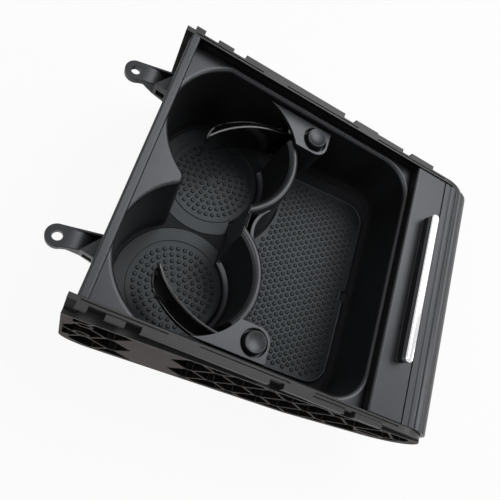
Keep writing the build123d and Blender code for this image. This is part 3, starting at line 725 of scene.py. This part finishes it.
def skin(mesh: bmesh.types.BMesh, rows: Rows, round_trip: bool = False, flip: bool = False) -> None:
    """Lays faces between neighbouring rows of vertices.

    Args:
        mesh: Mesh that the vertices are in.
        rows: Rows of equal length.
        round_trip: Whether the end of each row joins its start.
        flip: Whether the faces look the other way.
    """
    count = len(rows[0])
    for first, second in zip(rows, rows[1:]):
        for step in range(count if round_trip else count - 1):
            after = (step + 1) % count
            corners = (first[step], first[after], second[after], second[step])
            mesh.faces.new(corners[::-1] if flip else corners)


def bar(mesh: bmesh.types.BMesh, rows: Rows) -> None:
    """Closes rows of section corners into a bar with two ends.

    Args:
        mesh: Mesh that the vertices are in.
        rows: Sections along the bar.
    """
    skin(mesh, rows, round_trip=True)
    mesh.faces.new(rows[0])
    mesh.faces.new(rows[-1])


class StudForm(Enum):
    """Profiles of moulded studs: share of the radius, share of the height and painted shade of each ring."""

    BUTTON = ((1.08, 0.0, 0.0), (1.0, 0.01, 1.0), (0.90, 0.60, 1.0), (0.72, 0.93, 0.8), (0.50, 1.0, 0.0))
    DOME = ((1.06, 0.0, 0.0), (1.0, 0.01, 0.9), (0.88, 0.48, 0.7), (0.62, 0.86, 0.4), (0.34, 0.98, 0.1))


@dataclass(frozen=True)
class Stud:
    """Moulded stud that stands on a flat top, in millimetres."""

    form: StudForm
    radius: float
    height: float
    sides: int

    def add(self, mesh: bmesh.types.BMesh, root_shade: bmesh.types.BMLayerItem, foot: Triple) -> None:
        """Adds one stud.

        Args:
            mesh: Mesh to add to.
            root_shade: Layer that holds how dark a vertex is.
            foot: Centre of its foot.
        """
        rings = []
        for share, rise, dark in self.form.value:
            ring = []
            for step in range(self.sides):
                turn = 2 * pi * step / self.sides
                x = foot[0] + share * self.radius * cos(turn)
                y = foot[1] + share * self.radius * sin(turn)
                ring.append(mesh.verts.new((x * MM, y * MM, (foot[2] + rise * self.height) * MM)))
                ring[-1][root_shade] = dark
            rings.append(ring)
        skin(mesh, rings, round_trip=True)
        peak = mesh.verts.new((foot[0] * MM, foot[1] * MM, (foot[2] + self.height) * MM))
        for step in range(self.sides):
            mesh.faces.new((rings[-1][step], rings[-1][(step + 1) % self.sides], peak))


@dataclass
class Housing:
    """Tray, front frame, cheeks and screws."""

    bench: Bench

    def build(self) -> None:
        """Dresses the housing's mouldings."""
        self.bench.dress("tray", self.bench.finishes.deep)
        self.bench.dress("front_frame", self.bench.finishes.satin)
        for side in SIDES:
            self.bench.dress(f"{side}_cheek", self.bench.finishes.track)
        self.bench.dress("frame_screws", self.bench.finishes.steel)


def arc_points(arc: Arc, count: int) -> list[Flat]:
    """Points along the arc through three points.

    Args:
        arc: Where the arc starts, a point on its way and where it ends.
        count: How many points are wanted.

    Returns:
        The points, evenly spread.
    """
    a, b, c = (Vector(point) for point in arc)
    bulk = 2 * (a.x * (b.y - c.y) + b.x * (c.y - a.y) + c.x * (a.y - b.y))
    squares = [point.length_squared for point in (a, b, c)]
    centre = Vector(
        (
            (squares[0] * (b.y - c.y) + squares[1] * (c.y - a.y) + squares[2] * (a.y - b.y)) / bulk,
            (squares[0] * (c.x - b.x) + squares[1] * (a.x - c.x) + squares[2] * (b.x - a.x)) / bulk,
        )
    )
    arm = a - centre
    turn = arm.angle_signed(b - centre) + (b - centre).angle_signed(c - centre)
    points = []
    for step in range(count):
        spun = arm.copy()
        spun.rotate(Matrix.Rotation(-turn * step / (count - 1), 2))
        points.append(tuple(centre + spun))
    return points


@dataclass
class Insert:
    """Lift-out divider with its buttons, flaps, pins and springs.

    Sizes are in millimetres and degrees, and a flap's arcs are measured from its pin.
    """

    bench: Bench
    pin_x: float = 98.1
    pin_y: float = 69.5
    front_arc: Arc = ((-45.8, 26.9), (-31.8, 12.6), (-6.0, 3.0))
    back_arc: Arc = ((-44.7, 17.0), (-31.0, 5.7), (-7.9, -0.9))
    rim: float = -13.4
    back_rim: float = -19.9
    back_lift: float = 0.1
    cove_power: float = 1.25
    stations: int = 28
    steps: int = 10
    overlap: float = 0.5
    tip_overlap: float = 2.0
    tip_share: float = 0.3
    toe_span: Flat = (-34.5, 48.5)
    toe_steps: int = 48
    toe_profile: tuple[Flat, ...] = (
        (31.6, -55.25), (32.3, -54.74), (33.0, -54.38), (33.7, -53.98), (34.3, -53.55)
    )

    def edge(self, arc: Arc) -> list[Flat]:
        """Points along one edge of the right-hand flap's cove, from its arc about the pin."""
        return arc_points(tuple((self.pin_x + x, y - self.pin_y) for x, y in arc), self.stations)

    def flap(self, side: str, sign: int) -> None:
        """Replaces one flap by a copy with the cove behind its front rim.

        Args:
            side: Left or right.
            sign: Which way y runs on that side.
        """
        mesh = bmesh.new()
        mesh.from_mesh(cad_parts[f"{side}_flap"].data)
        fall = self.back_rim + self.back_lift - self.rim
        rows = []
        for index, (near, far) in enumerate(zip(self.edge(self.front_arc), self.edge(self.back_arc))):
            width = hypot(far[0] - near[0], far[1] - near[1])
            tip = max(0.0, 1 - index / (self.tip_share * self.stations))
            over = (self.overlap + (self.tip_overlap - self.overlap) * tip) / width
            far = tuple(b + (b - a) * over for a, b in zip(near, far))
            row = []
            for step in range(self.steps + 1):
                share = step / self.steps
                level = self.rim + fall * (1 - (1 - share) ** self.cove_power)
                x, y = (a + (b - a) * share for a, b in zip(near, far))
                row.append(mesh.verts.new((x * MM, -sign * y * MM, level * MM)))
            rows.append(row)
        skin(mesh, rows, flip=sign < 0)
        piece = self.bench.add(f"{side}_flap_moulding", mesh, self.bench.finishes.gloss, Slot.GLOSS)
        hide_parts(f"{side}_flap")
        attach(piece, Body.LEFT_GRIP.value if sign > 0 else Body.RIGHT_GRIP.value)

    def toe(self, side: str, sign: int) -> None:
        """Adds the fillet between the toe of the divider's wall and the wall itself.

        Args:
            side: Left or right.
            sign: Which way y runs on that side.
        """
        start, end = self.toe_span
        mesh = bmesh.new()
        rows = []
        for step in range(self.toe_steps + 1):
            turn = radians(start + (end - start) * step / self.toe_steps)
            row = []
            for radius, level in self.toe_profile:
                x = CUP_X + radius * cos(turn)
                y = sign * (CUP_Y - radius * sin(turn))
                row.append(mesh.verts.new(Vector((x, y, level)) * MM))
            rows.append(row)
        skin(mesh, rows, flip=sign > 0)
        satin = self.bench.finishes.satin
        piece = self.bench.add(f"{side}_toe_fillet", mesh, satin, Slot.SATIN, Smooth.ROUND)
        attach(piece, Body.HOUSING.value)

    def coil(self, side: str) -> None:
        """Replaces one button spring by a copy.

        Args:
            side: Left or right.
        """
        node = f"{side}_button_spring"
        mesh = bmesh.new()
        mesh.from_mesh(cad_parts[node].data)
        piece = self.bench.add(f"{side}_button_coil", mesh, self.bench.finishes.steel, Slot.STEEL)
        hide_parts(node)
        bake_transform(piece)

    def build(self) -> None:
        """Dresses the insert's pieces and adds what the solids leave out."""
        self.bench.dress("divider", self.bench.finishes.ridged)
        for side, sign in SIDES.items():
            self.bench.dress(f"{side}_release_button", self.bench.finishes.satin)
            self.flap(side, sign)
            self.toe(side, sign)
            self.coil(side)
            for node in ("flap_pin", "flap_spring"):
                self.bench.dress(f"{side}_{node}", self.bench.finishes.steel)


@dataclass
class Mats:
    """Rubber mats of the wells and the bin, in millimetres and degrees."""

    bench: Bench
    sink: float = 0.01
    stud: Stud = Stud(StudForm.BUTTON, radius=1.4, height=0.7, sides=12)
    stud_pitch: float = 4.08
    stud_rings: int = 6
    first_ring: int = 6
    stud_turn: float = 112.3
    dot: Stud = Stud(StudForm.DOME, radius=1.5, height=0.55, sides=10)
    dot_first: Flat = (121.85, 2.6)
    dot_pitch: Flat = (3.28, 4.26)
    dot_columns: range = range(-6, 20)
    dot_steps: range = range(-20, 21)
    dot_border: Flat = (4.2, 3.6)
    dot_bend: float = 11.0
    dot_clear: float = 49.5
    dot_front: float = 44.0
    notch_y: float = -2.5
    notch_half: float = 4.2
    notch_deep: float = 3.0
    notch_floor: float = 0.8
    rim_half: float = 0.8
    rim_height: float = 0.6
    rim_start: float = 112.0
    rim_bend: float = 13.2
    # Share across, share of the height and painted shade of each line along the bead.
    rim_profile: tuple[Triple, ...] = (
        (1, 0, 0.9), (0.7, 0.75, 0.1), (0, 1, 0.0), (-0.7, 0.75, 0.1), (-1, 0, 0.9)
    )

    def studs(self, side: str, sign: int) -> None:
        """Adds the studs of one cup mat.

        Args:
            side: Left or right.
            sign: Which way y runs on that side.
        """
        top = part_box(f"{side}_cup_mat")[1][2] / MM
        mesh = bmesh.new()
        root_shade = mesh.verts.layers.float.new("root_shade")
        for ring in range(1, self.stud_rings + 1):
            count = self.first_ring * ring
            for step in range(count):
                turn = 2 * pi * step / count - sign * radians(self.stud_turn)
                x = CUP_X + ring * self.stud_pitch * cos(turn)
                y = sign * CUP_Y + ring * self.stud_pitch * sin(turn)
                self.stud.add(mesh, root_shade, (x, y, top - self.sink))
        rubber = self.bench.finishes.rubber
        piece = self.bench.add(f"{side}_mat_studs", mesh, rubber, Slot.RUBBER, Smooth.ROUND, closed=True)
        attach(piece, Body.HOUSING.value)

    def inside(self, x: float, y: float) -> bool:
        """Whether a dot of the bin mat lies inside its border.

        Args:
            x: Place of the dot along the holder.
            y: Its place across.

        Returns:
            True inside the border.
        """
        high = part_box("bin_mat")[1]
        end = high[0] / MM - self.dot_border[0]
        half = high[1] / MM - self.dot_border[1]
        past_x, past_y = x - end + self.dot_bend, abs(y) - half + self.dot_bend
        if x > end or abs(y) > half:
            return False
        if past_x > 0 and past_y > 0 and hypot(past_x, past_y) > self.dot_bend:
            return False
        return hypot(x - CUP_X, abs(y) - CUP_Y) > self.dot_clear and x > CUP_X + self.dot_front

    def dots(self) -> None:
        """Adds the dots of the bin mat."""
        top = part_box("bin_mat")[1][2] / MM
        mesh = bmesh.new()
        root_shade = mesh.verts.layers.float.new("root_shade")
        for column in self.dot_columns:
            for step in self.dot_steps:
                x = self.dot_first[0] + column * self.dot_pitch[0]
                y = self.dot_first[1] + (step + 0.5 * (column % 2)) * self.dot_pitch[1]
                if self.inside(x, y):
                    self.dot.add(mesh, root_shade, (x, y, top - self.sink))
        rubber = self.bench.finishes.bin_rubber
        piece = self.bench.add("bin_mat_dots", mesh, rubber, Slot.RUBBER, Smooth.ROUND, closed=True)
        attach(piece, Body.HOUSING.value)

    def rim_path(self) -> list[Flat]:
        """Middle of the bead that runs round the bin mat and its notch.

        Returns:
            Points from the far side round to the near side, in millimetres.
        """
        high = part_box("bin_mat")[1]
        end = high[0] / MM - self.rim_half
        half = high[1] / MM - self.rim_half
        far = [(self.rim_start, half)]
        for turn in range(90, -1, -10):
            x = end - self.rim_bend + self.rim_bend * cos(radians(turn))
            far.append((x, half - self.rim_bend + self.rim_bend * sin(radians(turn))))
        floor = end - self.notch_deep
        notch = ((1, end), (self.notch_floor, floor), (-self.notch_floor, floor), (-1, end))
        near = [(x, -y) for x, y in reversed(far)]
        return far + [(x, self.notch_y + share * self.notch_half) for share, x in notch] + near

    def rim(self) -> None:
        """Adds the bead along the edge of the bin mat."""
        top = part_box("bin_mat")[1][2] / MM - self.sink
        path = [Vector(spot) for spot in self.rim_path()]
        mesh = bmesh.new()
        root_shade = mesh.verts.layers.float.new("root_shade")
        rows = []
        for index, spot in enumerate(path):
            ahead = path[min(index + 1, len(path) - 1)] - path[max(index - 1, 0)]
            side = Vector((-ahead.y, ahead.x)).normalized()
            row = []
            for across, rise, dark in self.rim_profile:
                place = spot + side * across * self.rim_half
                row.append(mesh.verts.new(Vector((place.x, place.y, top + rise * self.rim_height)) * MM))
                row[-1][root_shade] = dark
            rows.append(row)
        skin(mesh, rows)
        piece = self.bench.add("bin_mat_rim", mesh, self.bench.finishes.rubber, Slot.RUBBER, Smooth.ROUND)
        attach(piece, Body.HOUSING.value)

    def build(self) -> None:
        """Dresses the mats and adds their studs, dots and bead."""
        for side in SIDES:
            self.bench.dress(f"{side}_cup_mat", self.bench.finishes.rubber)
        self.bench.dress("bin_mat", self.bench.finishes.bin_rubber)
        for side, sign in SIDES.items():
            self.studs(side, sign)
        self.dots()
        self.rim()


@dataclass
class Shutter:
    """Leading panel, its bright grip and the ribbed curtain.

    Sizes are in millimetres, the angle is in radians, and runs are measured along the lips.
    """

    bench: Bench
    travel: float = 157.0
    held_run: float = 205.4
    reserve: float = 18.4
    half_width: float = 79.0
    top: float = -0.75
    under: float = -3.15
    rib_pitch: float = 4.35
    groove: float = 0.9
    groove_depth: float = 1.1
    halvings: int = 40
    curtain_run: float = 206.7
    flat_run: float = 215.0
    flat_steps: int = 16
    crown: float = 18.5
    crown_steps: int = 48
    belly: float = 36.8
    belly_turn: float = radians(70.0)
    belly_steps: int = 80
    base: float = -73.4
    slope_steps: int = 120
    tail: float = 110.0
    tail_steps: int = 80

    def spot(self, run: float, across: float, rise: float) -> Vector:
        """Point of the track.

        Args:
            run: Length along the lips, in millimetres.
            across: Length across them.
            rise: Height above them.

        Returns:
            The point, in metres.
        """
        x = run * cos(TRACK_TILT) + rise * sin(TRACK_TILT)
        z = LIP_RISE - run * sin(TRACK_TILT) + rise * cos(TRACK_TILT)
        return Vector((x, across, z)) * MM

    def share(self, drawn: float) -> float:
        """Share of the reserve that lies behind a place of the drawn band.

        Args:
            drawn: Length of the drawn band from its held end to the place.

        Returns:
            The share, nought at the held end and one at the panel.
        """
        low, high = 0.0, 1.0
        for _ in range(self.halvings):
            middle = (low + high) / 2
            reach = self.reserve * middle + self.travel * middle * middle * (3 - 2 * middle)
            low, high = (middle, high) if reach < drawn else (low, middle)
        return low

    def band(self) -> None:
        """Adds the ribbed band as it lies at rest, stowed inside the panel."""
        whole = self.reserve + self.travel
        stations = [(0.0, self.top)]
        edge = self.rib_pitch
        while edge < whole - self.rib_pitch:
            for offset, sunk in ((-self.groove / 2, 0.0), (0.0, self.groove_depth), (self.groove / 2, 0.0)):
                stations.append((edge + offset, self.top - sunk))
            edge += self.rib_pitch
        stations.append((whole, self.top))
        mesh = bmesh.new()
        rows = []
        for drawn, rise in stations:
            run = self.held_run - self.reserve * self.share(drawn)
            corners = ((-1, rise), (1, rise), (1, self.under), (-1, self.under))
            rows.append([mesh.verts.new(self.spot(run, sign * self.half_width, z)) for sign, z in corners])
        bar(mesh, rows)
        satin = self.bench.finishes.satin
        piece = self.bench.add("curtain_band", mesh, satin, Slot.SATIN, Smooth.RIBBED, closed=True)
        start = self.spot(self.held_run, 0.0, 0.0)
        end = self.spot(self.held_run - self.reserve, 0.0, 0.0)
        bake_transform(piece)

    def nose(self) -> list[tuple[Vector, Vector]]:
        """Outer face of the curtain from the panel round the nose and back along the base.

        Returns:
            Points and outward normals in the plane of x and z, in millimetres, under a millimetre apart.
        """
        lift = Vector((sin(TRACK_TILT), cos(TRACK_TILT)))
        line = []
        for step in range(self.flat_steps + 1):
            run = self.curtain_run + (self.flat_run - self.curtain_run) * step / self.flat_steps
            place = self.spot(run, 0.0, self.top) / MM
            line.append((Vector((place.x, place.z)), lift.copy()))
        middle = line[-1][0] - lift * self.crown
        upright = pi / 2 - TRACK_TILT
        for step in range(1, self.crown_steps + 1):
            turn = upright - upright * step / self.crown_steps
            out = Vector((cos(turn), sin(turn)))
            line.append((middle + out * self.crown, out))
        middle = middle + Vector((self.crown - self.belly, 0.0))
        for step in range(1, self.belly_steps + 1):
            turn = -self.belly_turn * step / self.belly_steps
            out = Vector((cos(turn), sin(turn)))
            line.append((middle + out * self.belly, out))
        place, out = line[-1]
        ahead = Vector((out.y, -out.x))
        length = (self.base - place.y) / ahead.y
        for step in range(1, self.slope_steps + 1):
            line.append((place + ahead * length * step / self.slope_steps, out))
        place = line[-1][0]
        for step in range(1, self.tail_steps + 1):
            x = place.x + (self.tail - place.x) * step / self.tail_steps
            line.append((Vector((x, self.base)), Vector((0.0, -1.0))))
        return line

    def curtain(self) -> None:
        """Replaces the curtain by one whose slats lie flat for longer before they turn down at the nose."""
        thick = self.top - self.under
        mesh = bmesh.new()
        rows = []
        gone = 0.0
        last = None
        for place, out in self.nose():
            gone += (place - last).length if last is not None else 0.0
            last = place
            off = abs((gone + self.rib_pitch / 2) % self.rib_pitch - self.rib_pitch / 2)
            sunk = self.groove_depth * max(0.0, 1 - off / (self.groove / 2)) if gone > self.groove else 0.0
            outer, inner = place - out * sunk, place - out * thick
            row = []
            for across, spot in ((-1, outer), (1, outer), (1, inner), (-1, inner)):
                row.append(mesh.verts.new(Vector((spot.x, across * self.half_width, spot.y)) * MM))
            rows.append(row)
        bar(mesh, rows)
        satin = self.bench.finishes.satin
        piece = self.bench.add("curtain_slats", mesh, satin, Slot.SATIN, Smooth.RIBBED, closed=True)
        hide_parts("shutter_curtain")
        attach(piece, Body.HOUSING.value)

    def build(self) -> None:
        """Dresses the shutter, its curtain and the band that it draws out."""
        self.bench.dress("shutter_panel", self.bench.finishes.satin)
        self.curtain()
        self.bench.dress("grip_trim", self.bench.finishes.bright)
        self.band()


@dataclass(frozen=True)
class Lamp:
    """Square soft lamp: where it hangs and the length of its side, in metres, and its power in watts."""

    name: str
    spot: Triple
    side: float
    watts: float

    def hang(self, aim: Triple) -> None:
        """Adds the lamp to the scene.

        Args:
            aim: What it faces, in metres.
        """
        data = bpy.data.lights.new(self.name, "AREA")
        data.shape = "SQUARE"
        data.size = self.side
        data.energy = self.watts
        holder = bpy.data.objects.new(self.name, data)
        holder.location = self.spot
        holder.rotation_euler = (Vector(aim) - Vector(self.spot)).to_track_quat("-Z", "Y").to_euler()
        bpy.context.scene.collection.objects.link(holder)


@dataclass
class Studio:
    """Camera, lamps, floor and white surround; lengths are in metres unless they say otherwise."""

    camera_mm: Triple = (30.36, -133.32, 273.13)
    across: Triple = (0.9008, 0.2869, 0.3259)
    upward: Triple = (-0.3812, 0.8819, 0.2772)
    lens_mm: float = 40.345
    sensor_mm: float = 36.0
    nearest: float = 0.01
    middle: Triple = (0.1, 0.0, 0.0)
    surround: float = 0.15
    floor_half: float = 3.0
    floor_gap: float = 0.0005
    floor_grey: float = 0.7
    floor_roughness: float = 0.9
    floor_white: float = 0.93
    lamps: tuple[Lamp, ...] = (
        Lamp("top_lamp", (0.48, 0.46, 0.80), 0.72, 8.3),
        Lamp("front_lamp", (-0.46, -0.36, 0.78), 0.32, 2.4),
        Lamp("side_lamp", (1.0, 0.1, 0.45), 0.25, 1.5),
    )

    def camera(self) -> None:
        """Sets the camera where the photograph was taken from."""
        across = Vector(self.across).normalized()
        upward = Vector(self.upward)
        upward = (upward - across * upward.dot(across)).normalized()
        back = across.cross(upward)
        data = bpy.data.cameras.new("camera")
        data.sensor_fit = "HORIZONTAL"
        data.sensor_width = self.sensor_mm
        data.lens = self.lens_mm
        data.clip_start = self.nearest
        holder = bpy.data.objects.new("camera", data)
        place = Matrix((across, upward, back)).transposed().to_4x4()
        place.translation = Vector(self.camera_mm) * MM
        holder.matrix_world = place
        bpy.context.scene.collection.objects.link(holder)
        bpy.context.scene.camera = holder

    def world(self) -> None:
        """Sets the surround: white where it is seen, dim where it lights."""
        world = bpy.data.worlds.new("surround")
        bpy.context.scene.world = world
        world.use_nodes = True
        sheet = NodeSheet(world.node_tree)
        dim = sheet.node("ShaderNodeBackground", None, {"Strength": self.surround})
        white = sheet.node("ShaderNodeBackground", None, {"Strength": 1.0})
        inputs = {0: sheet.seen(), 1: dim.outputs[0], 2: white.outputs[0]}
        mixed = sheet.node("ShaderNodeMixShader", None, inputs)
        sheet.node("ShaderNodeOutputWorld", None, {"Surface": mixed.outputs[0]})

    def floor(self) -> None:
        """Adds the floor under the holder: nearly white where it is seen, with a faint shadow."""
        level = CAD_BOX[0][2] - self.floor_gap
        mesh = bmesh.new()
        bmesh.ops.create_grid(mesh, x_segments=1, y_segments=1, size=self.floor_half)
        bmesh.ops.translate(mesh, verts=mesh.verts, vec=(self.middle[0], self.middle[1], level))
        data = bpy.data.meshes.new("floor")
        mesh.to_mesh(data)
        mesh.free()
        sheet = FinishSheet("pale_floor")
        grey = (self.floor_grey, self.floor_grey, self.floor_grey, 1.0)
        sheet.feed(sheet.shader, {"Base Color": grey, "Roughness": self.floor_roughness})
        white = sheet.node("ShaderNodeEmission", None, {"Color": (1.0, 1.0, 1.0, 1.0), "Strength": 1.0})
        inputs = {0: sheet.seen() * self.floor_white, 1: sheet.shader.outputs["BSDF"], 2: white.outputs[0]}
        mixed = sheet.node("ShaderNodeMixShader", None, inputs)
        sheet.feed(sheet.output, {"Surface": mixed.outputs[0]})
        data.materials.append(sheet.material)
        piece = bpy.data.objects.new("floor", data)
        bpy.context.scene.collection.objects.link(piece)

    def build(self) -> None:
        """Sets up the whole studio."""
        bpy.context.scene.view_settings.view_transform = "Standard"
        self.camera()
        self.world()
        self.floor()
        for lamp in self.lamps:
            lamp.hang(self.middle)


def main() -> None:
    """Builds every sub-assembly in order."""
    logging.basicConfig(level=logging.INFO, format="%(name)s: %(message)s")
    bench = Bench(Finishes())
    for group in (Housing(bench), Insert(bench), Mats(bench), Shutter(bench)):
        group.build()
        log.info("finished %s", type(group).__name__)
    Studio().build()


if __name__ == "__main__":
    main()
